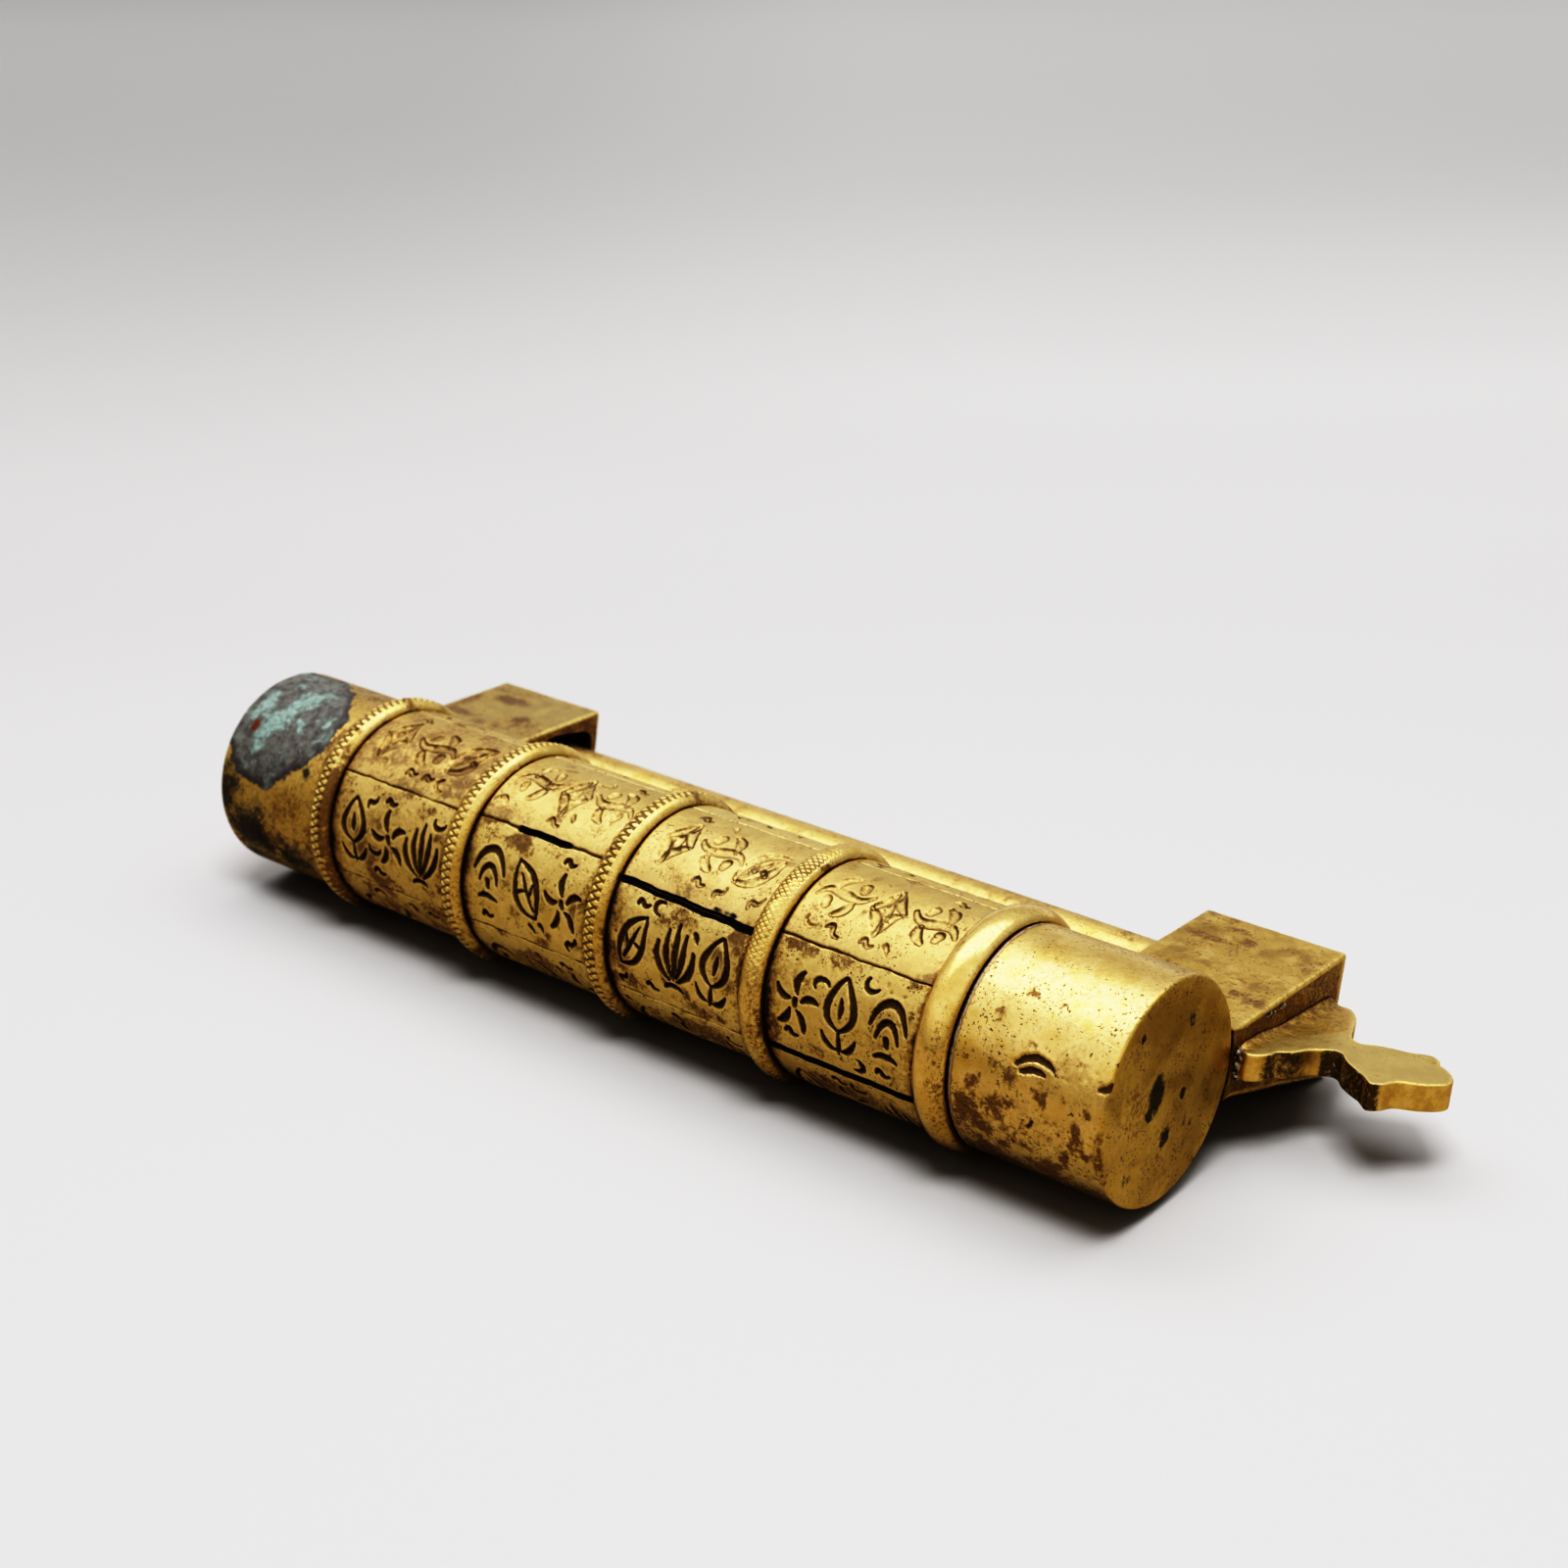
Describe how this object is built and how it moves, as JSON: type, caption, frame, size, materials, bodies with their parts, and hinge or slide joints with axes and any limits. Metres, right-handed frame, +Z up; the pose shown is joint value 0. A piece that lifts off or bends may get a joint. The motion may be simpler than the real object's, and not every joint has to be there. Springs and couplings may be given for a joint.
{
  "type": "combination padlock",
  "caption": "Horizontal brass combination padlock: engraved dials with knurled beads turn on a slotted spindle, and a sliding end carries the shackle bar and a cut finial plate.",
  "frame": {"origin": "centre of the bounding box, on the ground the lock lies on", "axes": "+X along the spindle, towards the end that slides out and the finial plate; +Y from the spindle towards the shackle bar; +Z up, with the lock lying on its beads and the lower outer corners of its arms"},
  "size_m": [0.1686, 0.0564, 0.0306],
  "materials": {
    "cap_brass": "worn golden brass with brown tarnish, pits and a green-grey patina patch",
    "dial_brass": "polished by handling, dark brown dirt in the engraving",
    "bead_brass": "bright crests with dark cross-hatched knurl cuts",
    "arm_brass": "brushed golden brass with brown smears and spots",
    "bar_brass": "drawn bar, satin, brown tarnish",
    "finial_brass": "khaki-gold flat plate with filed golden edges",
    "inner_brass": "dull inner brass, lightly greased"
  },
  "bodies": {
    "lock_body": {"left_end_cap": "cap_brass", "left_end_bead": "bead_brass", "left_arm": "arm_brass", "spindle_tube": "inner_brass", "spindle_collar": "inner_brass"},
    "dial_1_body": {"dial_1": "dial_brass", "dial_1_bead": "bead_brass"},
    "dial_2_body": {"dial_2": "dial_brass", "dial_2_bead": "bead_brass"},
    "dial_3_body": {"dial_3": "dial_brass", "dial_3_bead": "bead_brass"},
    "dial_4_body": {"dial_4": "dial_brass", "dial_4_bead": "bead_brass"},
    "sliding_bolt": {"right_end_cap": "cap_brass", "right_arm": "arm_brass", "shackle_bar": "bar_brass", "bolt_stem": "inner_brass", "bolt_tooth_1": "inner_brass", "bolt_tooth_2": "inner_brass", "bolt_tooth_3": "inner_brass", "bolt_tooth_4": "inner_brass", "finial_plate": "finial_brass"}
  },
  "joints": [
    {"name": "dial_1_turn", "type": "hinge", "parent": "lock_body", "child": "dial_1_body", "pos_m": [-0.04905, -0.01292, 0.0153], "axis": [1, 0, 0], "continuous": true},
    {"name": "dial_2_turn", "type": "hinge", "parent": "lock_body", "child": "dial_2_body", "pos_m": [-0.02355, -0.01292, 0.0153], "axis": [1, 0, 0], "continuous": true},
    {"name": "dial_3_turn", "type": "hinge", "parent": "lock_body", "child": "dial_3_body", "pos_m": [0.00195, -0.01292, 0.0153], "axis": [1, 0, 0], "continuous": true},
    {"name": "dial_4_turn", "type": "hinge", "parent": "lock_body", "child": "dial_4_body", "pos_m": [0.02745, -0.01292, 0.0153], "axis": [1, 0, 0], "continuous": true},
    {"name": "bolt_slide", "type": "slide", "parent": "lock_body", "child": "sliding_bolt", "axis": [1, 0, 0], "range_m": [0, 0.11]}
  ]
}
